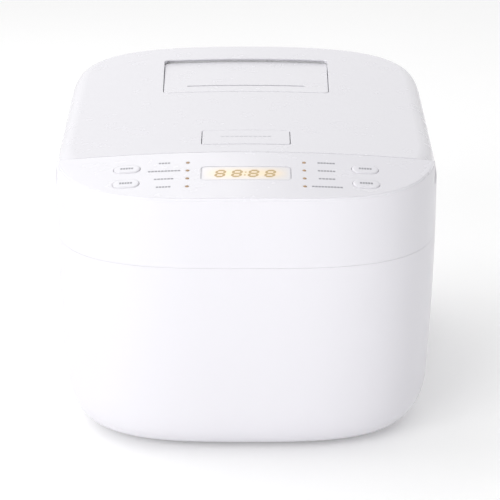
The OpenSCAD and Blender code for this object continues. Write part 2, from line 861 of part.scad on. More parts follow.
module latch_hook() {
  w = 22;
  color("gainsboro") difference() {
    union() {
      along_x(-w / 2, latch_y, latch_z) cylinder(r = 3.4, h = w);
      translate([-w / 2, 0, 0]) rotate([90, 0, 90]) linear_extrude(w)
        polygon([[-105.2, 180.6], [-100.4, 180.6], [-100, 181], [-100, 183], [-102.8, 183],
          [-102.8, 200], [-99, 201], [-85, 202.6], [-85, 205], [-99, 205], [-101, 206.4],
          [-103.6, 205.2], [-105.2, 202]]);
    }
    along_x(-w, latch_y, latch_z) cylinder(r = latch_pin_r + 0.05, h = 2 * w);
  }
}

// ---------- Steam vent ----------

// How far the vent cover's top lies below the crown at y
function vent_drop(y) = 0.05 + (vent_sink - 0.05) * (y - vent_front) / (vent_back - vent_front);

module vent_cover() {
  slit_y = 55;
  color("white") difference() {
    intersection() {
      crowned_slab(vent_w, vent_front, vent_back, vent_drop(vent_front), vent_drop(vent_back), vent_t);
      translate([0, vent_mid, 190]) rounded_block(vent_w, vent_back - vent_front, 60, 4.5);
    }
    translate([-47, slit_y - 0.7, body_h - vent_t]) cube([94, 1.4, 10]);
  }
}

module vent_cup() {
  w = 84;
  l = 62;
  z0 = 199.6;
  color("whitesmoke") difference() {
    translate([0, vent_mid, z0]) rounded_block(w, l, 205.6 - z0, 8);
    translate([0, vent_mid, z0 + 1.6]) rounded_block(w - 3.6, l - 3.6, 20, 6.2);
    translate([0, steam_y, 190]) cylinder(r = 7, h = 20);
  }
  color("whitesmoke")
    for (x = [-30, 30], y = [-18, 18])
      translate([x, vent_mid + y, z0 + 1])
        cylinder(r = 2.5, h = crown_z(33) - vent_drop(vent_mid + y + 3) - vent_t - z0 - 1);
}

module vent_seal() {
  color("gainsboro") translate([0, steam_y, vent_floor + 0.3]) tube(11, 7.4, 1.3);
}

lower_shell();
upper_shell();
base_cover();
rubber_feet();
base_screws();
well_liner();
liner_screws();
heating_plate();
heater_element();
sensor_housing();
thermal_fuse();
side_heater_band();
power_board();
relay();
transformer();
filter_capacitor();
terminal_block();
power_inlet();
inlet_pins();
mains_wires();
panel_frame();
control_panel();
control_board();
display_module();
display_window();
indicator_leds();
tact_switches();
hinge_brackets();
hinge_pins();
hinge_screws();
lid_springs();
catch_plate();
sensor_cap();
sensor_spring();
panel_key(-1, 0);  // menu_key
panel_key(-1, 1);  // timer_key
panel_key(1, 0);  // start_key
panel_key(1, 1);  // warm_key
inner_pot();
lid_cover();
lid_inner_shell();
lid_screws();
lid_plate();
lid_heater();
lid_sensor();
inner_lid();
inner_lid_stud();
sealing_ring();
vent_well();
vent_grommet();
latch_pin();
latch_spring();
release_button();
latch_hook();
vent_cover();
vent_cup();
vent_seal();
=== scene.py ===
"""Rice cooker: smooth casing, lid, vent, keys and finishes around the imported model.

Lengths are in millimetres until a mesh is made; Blender's objects are in metres.
"""

import json
import math

import bmesh
import bpy
from mathutils import Matrix, Vector


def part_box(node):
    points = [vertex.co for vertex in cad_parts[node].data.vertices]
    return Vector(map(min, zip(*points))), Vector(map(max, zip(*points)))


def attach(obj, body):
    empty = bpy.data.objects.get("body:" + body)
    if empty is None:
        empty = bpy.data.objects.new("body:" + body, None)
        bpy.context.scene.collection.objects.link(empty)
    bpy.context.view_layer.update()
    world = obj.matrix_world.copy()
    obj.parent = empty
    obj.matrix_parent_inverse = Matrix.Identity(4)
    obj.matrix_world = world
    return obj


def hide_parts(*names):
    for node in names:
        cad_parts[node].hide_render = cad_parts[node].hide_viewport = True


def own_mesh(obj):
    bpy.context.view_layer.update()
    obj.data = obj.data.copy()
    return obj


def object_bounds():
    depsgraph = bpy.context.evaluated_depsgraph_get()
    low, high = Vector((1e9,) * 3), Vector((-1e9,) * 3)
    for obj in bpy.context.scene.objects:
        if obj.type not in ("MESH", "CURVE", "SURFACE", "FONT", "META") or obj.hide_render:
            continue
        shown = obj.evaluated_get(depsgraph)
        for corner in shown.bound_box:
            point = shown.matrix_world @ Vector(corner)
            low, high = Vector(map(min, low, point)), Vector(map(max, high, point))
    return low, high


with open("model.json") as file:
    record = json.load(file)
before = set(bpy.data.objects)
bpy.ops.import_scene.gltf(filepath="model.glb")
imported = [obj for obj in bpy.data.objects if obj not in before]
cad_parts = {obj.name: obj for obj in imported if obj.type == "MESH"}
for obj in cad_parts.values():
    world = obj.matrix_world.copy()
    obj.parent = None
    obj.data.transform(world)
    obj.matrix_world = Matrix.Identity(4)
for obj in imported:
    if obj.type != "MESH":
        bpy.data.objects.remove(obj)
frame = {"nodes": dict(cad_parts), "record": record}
CAD_LOW, CAD_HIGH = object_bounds()

MM = 0.001


def low(node):
    """Lowest corner of a CAD node, in millimetres."""
    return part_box(node)[0] / MM


def high(node):
    """Highest corner of a CAD node, in millimetres."""
    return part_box(node)[1] / MM


# ---------- Shape of the casing ----------

HALF_W = CAD_HIGH.x / MM
HALF_D = CAD_HIGH.y / MM
BODY_H = high("lid_cover").z
CROWN = 7.0
SQUARENESS = 3.2
REAR_SQUARENESS = 4.2
FRONT_REACH = 122.0
REAR_REACH = 121.0
FRONT_C = FRONT_REACH - HALF_D
REAR_C = HALF_D - REAR_REACH
SIDE_LEAN = 6.5
LEAN_TOP = 165.0
FOOT_H = high("rubber_feet").z
BASE_ROUND_H = 32.0
BASE_ROUND = 20.0
WALL = 2.6
SEAM_Z = high("lower_shell").z
RIM_Z = 188.0
DECK_Z = 186.0
UPPER_ZS = (156, 165, 178)
DECK_T = 2.4
PANEL_TILT = math.radians(11)
PANEL_T = 2.2
PANEL_BACK = high("control_panel").y
LID_FRONT = low("lid_cover").y
LID_STEP = HALF_W - high("lid_cover").x
LID_Z = low("lid_cover").z
LID_EDGE_R = 12.0
LID_WALL = 2.5
HINGE_Y = HALF_D - 18.0
HINGE_Z = 198.0
POT_Y = (low("inner_pot").y + high("inner_pot").y) / 2
AXIS_Y, AXIS_Z = -62.0, 206.0
DISPLAY_Y = -140.5
DISPLAY_W, DISPLAY_L = 63.5, 19.0
STEAM_Y = (low("vent_grommet").y + high("vent_grommet").y) / 2
COLLAR_R = 119.5
COLLAR_T = 2.0
BEHIND = HALF_D + 20.0
CLEAR_ABOVE = 240.0

# Back of the lower casing
AIR_SLOT_XS = (38, 50, 62)
AIR_SLOT_ZS = (50, 70)
AIR_SLOT_R = 1.6
INLET_MOUTH_W, INLET_MOUTH_H, INLET_MOUTH_R = 32, 23, 3
DRIP_SHELF = ((-24, 158, 59.2), (24, 170.5, 61.2))
SCREW_BOSS_R, SCREW_HOLE_R, SCREW_BOSS_H = 5, 1.8, 16


def reach_share(x, d, squareness):
    """Share of its full reach from the middle that the outline keeps at x, moved inward by d."""
    return max(0.0, 1 - (abs(x) / (HALF_W - d)) ** squareness) ** (1 / squareness)


def front_y(x, d):
    """Where the outline's front stands at x, moved inward by d."""
    return FRONT_C - (FRONT_REACH - d) * reach_share(x, d, SQUARENESS)


def rear_y(x, d):
    """Where the outline's rear stands at x, moved inward by d."""
    return REAR_C + (REAR_REACH - d) * reach_share(x, d, REAR_SQUARENESS)


def chord_half_width(y, d):
    """Half the outline's width where it meets a line across at y, in front of the middle."""
    return (HALF_W - d) * (1 - ((FRONT_C - y) / (FRONT_REACH - d)) ** SQUARENESS) ** (1 / SQUARENESS)


def crown_z(x):
    """Height of the lid's top, which is highest in the middle and falls to both sides."""
    return BODY_H - CROWN * (x / HALF_W) ** 2


def crown_lean(x):
    """How far the crown leans to the side at x, in radians."""
    return math.atan(2 * CROWN * x / HALF_W**2)


def panel_z(x, y):
    """Height of the key panel's face, which slopes down to the front."""
    return crown_z(x) - (LID_FRONT - y) * math.tan(PANEL_TILT)


def casing_inset(z):
    """How far the casing's outer face lies inside the plan outline at height z."""
    lean = SIDE_LEAN * (max(0.0, LEAN_TOP - z) / LEAN_TOP) ** 2
    below = (FOOT_H + BASE_ROUND_H - z) / BASE_ROUND_H
    if below <= 0:
        return lean
    return lean + BASE_ROUND * (1 - math.sqrt(max(0.0, 1 - below**2)))


# ---------- Closed loops: the rear half from +X to -X, then the front half back ----------

QUARTER = 40
SIDE_STEPS = 16
ACROSS_STEPS = 84


def curve_xs(d):
    """X of the plan outline's points, from +X to -X, close together where it turns."""
    a = HALF_W - d
    return [
        a * math.copysign(abs(math.cos(t)) ** (2 / SQUARENESS), math.cos(t))
        for t in (math.pi * i / (2 * QUARTER) for i in range(2 * QUARTER + 1))
    ]


def two_halves(xs, rear, front):
    """A loop from one list of X, with a rule for Y in the rear half and one in the front half."""
    return [(x, rear(x)) for x in xs] + [(x, front(x)) for x in reversed(xs)]


def outline(d):
    """The casing's plan outline moved inward by d."""
    return two_halves(curve_xs(d), lambda x: rear_y(x, d), lambda x: front_y(x, d))


def chord_xs(d, corner):
    """X of points from the side to a corner, across to the other corner, and out to the other side."""
    a = HALF_W - d
    turn = math.acos((corner / a) ** (SQUARENESS / 2))
    side = [a * math.cos(turn * i / SIDE_STEPS) ** (2 / SQUARENESS) for i in range(SIDE_STEPS)]
    across = [corner * (1 - 2 * i / ACROSS_STEPS) for i in range(ACROSS_STEPS + 1)]
    return side + across + [-x for x in reversed(side)]


def lid_outline(d, front):
    """The lid's outline moved inward by d, with its straight front edge at y = front."""
    xs = chord_xs(d, chord_half_width(front, d))
    return two_halves(xs, lambda x: rear_y(x, d), lambda x: max(front_y(x, d), front))


def crescent(d, back):
    """The key panel's outline moved inward by d, with its straight back edge at y = back."""
    side = 0.25
    corner = chord_half_width(back - side, d)
    count = ACROSS_STEPS + 2 * SIDE_STEPS
    xs = [corner * math.cos(math.pi * i / count) for i in range(count + 1)]
    return two_halves(xs, lambda x: back, lambda x: min(front_y(x, d), back - side))


def rounded_rectangle(w, l, r, centre=(0.0, 0.0), corner_steps=8, across=16, flare=0.0):
    """A rectangle w by l with corner radius r and points along its long sides.

    The share flare makes its rear wider than its front.
    """
    half, depth = w / 2 - r, l / 2 - r
    turns = [math.pi / 2 * i / corner_steps for i in range(corner_steps + 1)]
    right = [(half + r * math.cos(t), depth + r * math.sin(t)) for t in turns]
    middle = [(half * (1 - 2 * i / across), l / 2) for i in range(1, across)]
    rear = right + middle + [(-x, y) for x, y in reversed(right)]
    front = [(x, -y) for x, y in reversed(rear)]
    return [(x * (1 + flare * y / l) + centre[0], y + centre[1]) for x, y in rear + front]


def at(points, height):
    """Loop points in space: height is a number or a function of x and y."""
    return [(x, y, height(x, y) if callable(height) else height) for x, y in points]


def round_over(r, steps=4):
    """Pairs (inward, downward) of a rounded edge of radius r, from the side to the top."""
    return [
        (r * (1 - math.cos(math.pi / 2 * i / steps)), r * (1 - math.sin(math.pi / 2 * i / steps)))
        for i in range(steps + 1)
    ]


# ---------- Mesh making ----------


def new_object(name, bm):
    """An object in the scene, in metres, from a mesh under construction."""
    bmesh.ops.recalc_face_normals(bm, faces=bm.faces)
    mesh = bpy.data.meshes.new(name)
    bm.to_mesh(mesh)
    bm.free()
    obj = bpy.data.objects.new(name, mesh)
    bpy.context.scene.collection.objects.link(obj)
    return obj


def ring_object(name, rings, matrix=None):
    """A closed mesh through loops of equal length, lowest first, with strips across both ends."""
    bm = bmesh.new()
    matrix = matrix or Matrix.Identity(4)
    loops = [[bm.verts.new((matrix @ Vector(p)) * MM) for p in ring] for ring in rings]
    n = len(loops[0])
    for lower, upper in zip(loops, loops[1:]):
        for k in range(n):
            j = (k + 1) % n
            bm.faces.new((lower[k], lower[j], upper[j], upper[k]))
    for loop in (loops[0], loops[-1]):
        for k in range(n // 2 - 1):
            bm.faces.new((loop[k], loop[k + 1], loop[n - 2 - k], loop[n - 1 - k]))
    return new_object(name, bm)


def block(name, low_corner, high_corner):
    """A box between two corners."""
    (x0, y0, z0), (x1, y1, z1) = low_corner, high_corner
    loop = [(x1, y1), (x0, y1), (x0, y0), (x1, y0)]
    return ring_object(name, [at(loop, z0), at(loop, z1)])


def prism(name, x0, x1, profile):
    """A profile in Y and Z, in millimetres, carried along X."""
    bm = bmesh.new()
    ends = [[bm.verts.new(Vector((x, y, z)) * MM) for y, z in profile] for x in (x0, x1)]
    for end in ends:
        bm.faces.new(end)
    for k in range(len(profile)):
        j = (k + 1) % len(profile)
        bm.faces.new((ends[0][k], ends[0][j], ends[1][j], ends[1][k]))
    return new_object(name, bm)


def lathe(name, profile, centre=(0.0, 0.0, 0.0), segments=192, axis="Z"):
    """A solid of revolution about an upright axis, or about X. A profile point is (radius, height)."""
    bm = bmesh.new()
    turn = Matrix.Rotation(math.pi / 2, 4, "Y") if axis == "X" else Matrix.Identity(4)
    place = Matrix.Translation(Vector(centre)) @ turn

    def spot(r, z, a):
        return bm.verts.new((place @ Vector((r * math.cos(a), r * math.sin(a), z))) * MM)

    columns = []
    for r, z in profile:
        if r < 1e-6:
            columns.append([spot(0, z, 0)] * segments)
        else:
            columns.append([spot(r, z, 2 * math.pi * i / segments) for i in range(segments)])
    closed = profile[0][0] > 1e-6 or profile[-1][0] > 1e-6
    pairs = list(zip(columns, columns[1:])) + ([(columns[-1], columns[0])] if closed else [])
    for a, b in pairs:
        for i in range(segments):
            j = (i + 1) % segments
            corners = list(dict.fromkeys((a[i], a[j], b[j], b[i])))
            if len(corners) > 2:
                bm.faces.new(corners)
    return new_object(name, bm)


def combine(obj, tools, operation):
    """Applies a boolean of obj with each tool in turn, and removes the tools."""
    for tool in tools:
        mod = obj.modifiers.new("combine", "BOOLEAN")
        mod.operation = operation
        mod.solver = "MANIFOLD"
        mod.object = tool
        bpy.context.view_layer.update()
        evaluated = obj.evaluated_get(bpy.context.evaluated_depsgraph_get())
        mesh = bpy.data.meshes.new_from_object(evaluated)
        obj.modifiers.clear()
        old = obj.data
        obj.data = mesh
        bpy.data.meshes.remove(old)
        bpy.data.objects.remove(tool)
    return obj


def cut(obj, *tools):
    return combine(obj, tools, "DIFFERENCE")


def add(obj, *tools):
    return combine(obj, tools, "UNION")


def keep(obj, *tools):
    return combine(obj, tools, "INTERSECT")


def smooth(obj, degrees=32):
    """Smooth shading that stays crisp on edges sharper than this."""
    bm = bmesh.new()
    bm.from_mesh(obj.data)
    bmesh.ops.remove_doubles(bm, verts=bm.verts, dist=2e-7)
    bmesh.ops.dissolve_degenerate(bm, edges=bm.edges, dist=1e-7)
    for f in bm.faces:
        f.smooth = True
    limit = math.radians(degrees)
    for e in bm.edges:
        e.smooth = len(e.link_faces) == 2 and e.calc_face_angle(0.0) < limit
    bm.to_mesh(obj.data)
    bm.free()
    normals = obj.modifiers.new("normals", "WEIGHTED_NORMAL")
    normals.mode = "FACE_AREA_WITH_ANGLE"
    normals.weight = 60
    normals.keep_sharp = True
    return obj


def finished(obj, material, body, slot, *nodes, degrees=32):
    """Gives a piece its shading, material and body, and hides the CAD nodes it stands for. The slot is not
    used.
    """
    smooth(obj, degrees)
    obj.data.name = obj.name
    obj.data.materials.clear()
    obj.data.materials.append(material)
    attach(obj, body)
    if nodes:
        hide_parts(*nodes)
    return obj


def on_panel(x, y):
    """Matrix that places a piece on the panel's face, with +Z out of the panel."""
    return (
        Matrix.Translation((x, y, panel_z(x, y)))
        @ Matrix.Rotation(PANEL_TILT, 4, "X")
        @ Matrix.Rotation(crown_lean(x), 4, "Y")
    )


# ---------- Materials ----------


class Finish:
    """A node-based material under construction."""

    def __init__(self, name):
        self.material = bpy.data.materials.new(name)
        self.material.use_nodes = True
        self.tree = self.material.node_tree
        self.shader = self.tree.nodes["Principled BSDF"]
        self.place = self.node("ShaderNodeTexCoord").outputs["Object"]

    def node(self, kind, **values):
        n = self.tree.nodes.new(kind)
        for key, value in values.items():
            setattr(n, key, value)
        return n

    def link(self, a, b):
        self.tree.links.new(a, b)

    def stretched(self, scale):
        n = self.node("ShaderNodeMapping")
        n.inputs["Scale"].default_value = scale
        self.link(self.place, n.inputs["Vector"])
        return n.outputs["Vector"]

    def noise(self, scale, detail=4.0, vector=None):
        n = self.node("ShaderNodeTexNoise")
        n.inputs["Scale"].default_value = scale
        n.inputs["Detail"].default_value = detail
        self.link(vector or self.place, n.inputs["Vector"])
        return n.outputs["Fac"]

    def spread(self, value, lowest, highest, start=0.3, end=0.7):
        n = self.node("ShaderNodeMapRange")
        n.inputs["From Min"].default_value = start
        n.inputs["From Max"].default_value = end
        n.inputs["To Min"].default_value = lowest
        n.inputs["To Max"].default_value = highest
        self.link(value, n.inputs["Value"])
        return n.outputs["Result"]

    def tint(self, value, dark, light, start=0.3, end=0.7):
        n = self.node("ShaderNodeValToRGB")
        n.color_ramp.elements[0].position = start
        n.color_ramp.elements[1].position = end
        n.color_ramp.elements[0].color = (*dark, 1)
        n.color_ramp.elements[1].color = (*light, 1)
        self.link(value, n.inputs["Fac"])
        return n.outputs["Color"]

    def bump(self, height, depth_mm, strength=1.0):
        n = self.node("ShaderNodeBump")
        n.inputs["Distance"].default_value = depth_mm * MM
        n.inputs["Strength"].default_value = strength
        self.link(height, n.inputs["Height"])
        self.link(n.outputs["Normal"], self.shader.inputs["Normal"])

    def set(self, **values):
        for key, value in values.items():
            self.shader.inputs[key.replace("_", " ")].default_value = value
        return self

    def base(self, colour_output):
        self.link(colour_output, self.shader.inputs["Base Color"])

    def roughness(self, output):
        self.link(output, self.shader.inputs["Roughness"])


def shade(colour, factor):
    """A lighter or darker version of a colour."""
    return tuple(min(1.0, c * factor) for c in colour)


def plastic(name, colour, rough, grain_mm=0.01, variation=0.02):
    """Moulded plastic: faint flow marks in its colour, uneven gloss and a fine grain."""
    f = Finish(name)
    f.base(f.tint(f.noise(9), shade(colour, 1 - variation), shade(colour, 1 + variation)))
    f.roughness(f.spread(f.noise(60), rough * 0.85, rough * 1.15))
    f.bump(f.noise(900, 2), grain_mm)
    return f.material


def metal(name, colour, rough, stretch=(1, 1, 1), grain_scale=700, grain_mm=0.006):
    """Sheet or turned metal: streaks along one direction and uneven polish."""
    f = Finish(name)
    lines = f.noise(grain_scale, 3, f.stretched(stretch))
    f.base(f.tint(f.noise(25), shade(colour, 0.92), shade(colour, 1.05)))
    f.roughness(f.spread(lines, rough * 0.75, rough * 1.3))
    f.bump(lines, grain_mm)
    f.set(Metallic=1.0)
    return f.material


def rubber(name, colour, rough, through=0.0):
    """Moulded rubber or silicone with a dusty bloom."""
    f = Finish(name)
    f.base(f.tint(f.noise(120), shade(colour, 0.9), shade(colour, 1.1)))
    f.roughness(f.spread(f.noise(300), rough * 0.9, min(1.0, rough * 1.15)))
    f.bump(f.noise(1500, 2), 0.02)
    f.set(Subsurface_Weight=through, Subsurface_Scale=0.002)
    return f.material


def coating(name, colour):
    """Non-stick coating with fine pale flecks."""
    f = Finish(name)
    cells = f.node("ShaderNodeTexVoronoi")
    cells.inputs["Scale"].default_value = 900
    f.link(f.place, cells.inputs["Vector"])
    fleck = f.spread(cells.outputs["Distance"], 1.0, 0.0, 0.08, 0.16)
    f.base(f.tint(fleck, colour, shade(colour, 1.9)))
    f.roughness(f.spread(f.noise(40), 0.26, 0.36))
    f.bump(f.noise(1400, 2), 0.012)
    return f.material


def board(name):
    """Circuit board: solder mask with slightly raised tracks."""
    f = Finish(name)
    tracks = f.node("ShaderNodeTexBrick")
    tracks.inputs["Scale"].default_value = 90
    tracks.inputs["Mortar Size"].default_value = 0.035
    tracks.inputs["Color1"].default_value = (0.02, 0.16, 0.07, 1)
    tracks.inputs["Color2"].default_value = (0.03, 0.20, 0.09, 1)
    tracks.inputs["Mortar"].default_value = (0.06, 0.34, 0.16, 1)
    f.link(f.place, tracks.inputs["Vector"])
    f.base(tracks.outputs["Color"])
    f.roughness(f.spread(f.noise(200), 0.25, 0.4))
    f.bump(tracks.outputs["Fac"], 0.05)
    return f.material


def glow(name, colour, strength, body_colour):
    """Lit plastic: bright amber with a slightly cloudy diffuser."""
    f = Finish(name)
    cloud = f.noise(420, 2)
    f.link(f.tint(cloud, shade(colour, 0.9), shade(colour, 1.08)), f.shader.inputs["Emission Color"])
    f.base(f.tint(cloud, shade(body_colour, 0.96), shade(body_colour, 1.04)))
    f.set(Emission_Strength=strength, Roughness=0.4)
    return f.material


def lit_lens(name, colour, halo):
    """Pale lens with a warm light spreading behind the figures, in the middle of the display."""
    f = Finish(name)
    place = f.node("ShaderNodeSeparateXYZ")
    f.link(f.place, place.inputs[0])
    masks = []
    for axis, middle, lit, dark in (("X", 0.0, 19.0, 31.0), ("Y", DISPLAY_Y, 1.5, 9.5)):
        far = f.node("ShaderNodeMath", operation="ADD")
        far.inputs[1].default_value = -middle * MM
        f.link(place.outputs[axis], far.inputs[0])
        size = f.node("ShaderNodeMath", operation="ABSOLUTE")
        f.link(far.outputs[0], size.inputs[0])
        masks.append(f.spread(size.outputs[0], 1.0, 0.0, lit * MM, dark * MM))
    mask = f.node("ShaderNodeMath", operation="MULTIPLY")
    f.link(masks[0], mask.inputs[0])
    f.link(masks[1], mask.inputs[1])
    warm = tuple(a * b for a, b in zip(colour, halo))
    f.base(f.tint(mask.outputs[0], colour, warm, 0.0, 1.0))
    f.link(f.spread(mask.outputs[0], 0.0, 0.17, 0.0, 1.0), f.shader.inputs["Emission Strength"])
    f.set(Emission_Color=(1.0, 0.74, 0.42, 1), Roughness=0.2, Coat_Weight=0.2, Coat_Roughness=0.15)
    f.bump(f.noise(900, 2), 0.002)
    return f.material


def woven(name, colour):
    """Glass-fibre sleeve: a tight weave."""
    f = Finish(name)
    weave = f.node("ShaderNodeTexWave", wave_type="BANDS", bands_direction="DIAGONAL")
    weave.inputs["Scale"].default_value = 420
    f.link(f.place, weave.inputs["Vector"])
    f.base(f.tint(weave.outputs["Fac"], shade(colour, 0.75), shade(colour, 1.1)))
    f.bump(weave.outputs["Fac"], 0.15)
    f.set(Roughness=0.85)
    return f.material


WHITE = (0.722, 0.712, 0.75)
M = {
    "white_gloss": plastic("gloss_white", WHITE, 0.25, grain_mm=0.0012, variation=0.006),
    "white_casing": plastic("satin_white", shade(WHITE, 0.995), 0.33, grain_mm=0.003, variation=0.006),
    "display_lens": lit_lens("display_lens", (0.73, 0.715, 0.74), (1.0, 0.86, 0.62)),
    "led_amber": glow("amber_glow", (1.0, 0.55, 0.22), 0.05, (0.37, 0.25, 0.15)),
    "pale_plastic": plastic("pale_plastic", (0.74, 0.745, 0.75), 0.45, grain_mm=0.02),
    "rubber_grey": rubber("foot_rubber", (0.05, 0.05, 0.055), 0.75),
    "silicone": rubber("silicone", (0.66, 0.68, 0.70), 0.42, through=0.25),
    "screw_steel": metal("zinc_screws", (0.60, 0.60, 0.62), 0.32),
    "liner_steel": metal("aluminised_sheet", (0.62, 0.62, 0.63), 0.34, stretch=(1, 1, 40)),
    "cast_alu": metal("turned_aluminium", (0.78, 0.78, 0.79), 0.34, grain_mm=0.0012),
    "element_steel": metal("dark_steel", (0.26, 0.25, 0.24), 0.5),
    "sensor_alu": metal("spun_aluminium", (0.83, 0.83, 0.84), 0.22),
    "sensor_body": plastic("grey_plastic", (0.12, 0.12, 0.125), 0.5, grain_mm=0.03),
    "heater_foil": metal("heater_foil", (0.80, 0.60, 0.36), 0.36, grain_scale=160, grain_mm=0.1),
    "fuse_sleeve": woven("fuse_sleeve", (0.72, 0.68, 0.56)),
    "circuit_board": board("circuit_board"),
    "dark_plastic": plastic("black_plastic", (0.018, 0.018, 0.02), 0.42, grain_mm=0.03, variation=0.2),
    "transformer_iron": metal("laminated_iron", (0.20, 0.19, 0.19), 0.55, stretch=(1, 60, 1)),
    "capacitor_can": plastic("capacitor_sleeve", (0.02, 0.03, 0.12), 0.3, grain_mm=0.01, variation=0.1),
    "brass_pins": metal("brass", (0.78, 0.60, 0.30), 0.28),
    "wire_sleeve": rubber("wire_sleeve", (0.16, 0.05, 0.03), 0.5),
    "zinc_steel": metal("zinc_plate", (0.66, 0.66, 0.68), 0.3),
    "spring_steel": metal("spring_wire", (0.50, 0.50, 0.52), 0.28),
    "nonstick": coating("nonstick", (0.03, 0.03, 0.034)),
}
LIT_DIGITS = glow("amber_digits", (1.0, 0.62, 0.22), 0.04, (0.46, 0.33, 0.15))
LABEL_INK = plastic("label_ink", (0.30, 0.30, 0.325), 0.5, grain_mm=0.004, variation=0.06)
BUTTON_INK = plastic("button_ink", (0.50, 0.50, 0.53), 0.5, grain_mm=0.004, variation=0.06)
# Grey for the painted shadow line around the display's edge, where the gap between lens and panel lies.
GAP_SHADOW_PAINT = plastic("painted_gap_shadow", (0.56, 0.55, 0.59), 0.5, grain_mm=0.004, variation=0.06)

for row in frame["record"]["subparts"]:
    cad = frame["nodes"][row["node"]]
    cad.data.materials.clear()
    cad.data.materials.append(M[row["material_slot"]])

# ---------- Casing ----------


def lower_rings(d, bottom, top, edge):
    """Loops of the lower casing's face moved inward by d, with a small rounded edge at the seam."""
    fillet = [FOOT_H + BASE_ROUND_H * (1 - math.cos(math.radians(a))) for a in range(0, 91, 5)]
    zs = [z for z in fillet if z >= bottom] + [50, 65, 80, 95, 110, 125, 138, top - edge]
    rings = [at(outline(casing_inset(z) + d), z) for z in zs]
    return rings + [at(outline(casing_inset(top) + d + i), top - h) for i, h in round_over(edge)[1:]]


def rear_cutter(name, x, z, w, h, r, depth):
    """A rounded opening through the back wall, w by h around x and z."""
    place = Matrix.Translation((x, BEHIND, z)) @ Matrix.Rotation(math.pi / 2, 4, "X")
    loop = rounded_rectangle(w, h, r, across=2)
    return ring_object(name, [at(loop, 0), at(loop, depth)], place)


def screw_boss(spot):
    """A tube that stands on the floor of the lower casing for a screw."""
    z0 = FOOT_H + WALL
    z1 = z0 + SCREW_BOSS_H
    profile = [(SCREW_HOLE_R, z0), (SCREW_BOSS_R, z0), (SCREW_BOSS_R, z1), (SCREW_HOLE_R, z1)]
    return lathe("boss", profile, (spot.x, spot.y, 0), 32)


def make_lower_casing():
    shell = ring_object("lower_casing", lower_rings(0, 0, SEAM_Z, 0.3))
    inner = []
    for a in range(0, 91, 10):
        z = FOOT_H + BASE_ROUND_H * (1 - math.cos(math.radians(a)))
        inner.append(at(outline(casing_inset(z) + WALL), z + WALL))
    mouth = at(outline(BASE_ROUND + SIDE_LEAN + 4.5), FOOT_H - 1)
    inner += [at(outline(casing_inset(z) + WALL), z) for z in (60, 90, 120, SEAM_Z + 1)]
    cut(shell, ring_object("hollow", [mouth] + inner))
    inlet_z = (low("power_inlet").z + high("power_inlet").z) / 2
    cut(shell, rear_cutter("inlet_hole", 0, inlet_z, INLET_MOUTH_W, INLET_MOUTH_H, INLET_MOUTH_R, 60))
    slot_z0, slot_z1 = AIR_SLOT_ZS
    for side in (-1, 1):
        for x in AIR_SLOT_XS:
            middle, height = (slot_z0 + slot_z1) / 2, slot_z1 - slot_z0
            cut(shell, rear_cutter("slot", side * x, middle, 2 * AIR_SLOT_R, height, AIR_SLOT_R - 0.01, 40))
    add(shell, block("drip_shelf", *DRIP_SHELF))
    for spot in frame_spots("base_screws"):
        add(shell, screw_boss(spot))
    return finished(shell, M["white_casing"], "base", "white_casing", "lower_shell")


def frame_spots(node):
    """Centres of a node's separate pieces in plan, in millimetres."""
    mesh = frame["nodes"][node].data
    bm = bmesh.new()
    bm.from_mesh(mesh)
    bmesh.ops.remove_doubles(bm, verts=bm.verts, dist=1e-6)
    left, spots = set(bm.verts), []
    while left:
        stack, found = [left.pop()], []
        while stack:
            v = stack.pop()
            found.append(v.co / MM)
            for e in v.link_edges:
                o = e.other_vert(v)
                if o in left:
                    left.remove(o)
                    stack.append(o)
        lowest = [min(c[i] for c in found) for i in range(3)]
        highest = [max(c[i] for c in found) for i in range(3)]
        spots.append(Vector([(a + b) / 2 for a, b in zip(lowest, highest)]))
    bm.free()
    return spots


def swing_r(x):
    """How far the lid's rear edge reaches from the hinge axis as it swings down."""
    return math.hypot(max(0.0, rear_y(x, LID_STEP) - HINGE_Y), HINGE_Z - LID_Z) + 0.45


def swing_room(extra):
    """The room that the lid's rear edge sweeps around the hinge, grown outward by extra."""
    q = REAR_SQUARENESS
    reach = (HALF_W - LID_STEP) * (1 - ((HINGE_Y - REAR_C) / (REAR_REACH - LID_STEP)) ** q) ** (1 / q)
    steps = 28
    profile = [(0.0, -reach - extra)]
    for i in range(steps + 1):
        x = reach * (2 * i / steps - 1)
        profile.append((swing_r(x) + extra, x * (reach + extra) / reach))
    profile.append((0.0, reach + extra))
    return lathe("swing_room", profile, (0, HINGE_Y, HINGE_Z), 96, axis="X")


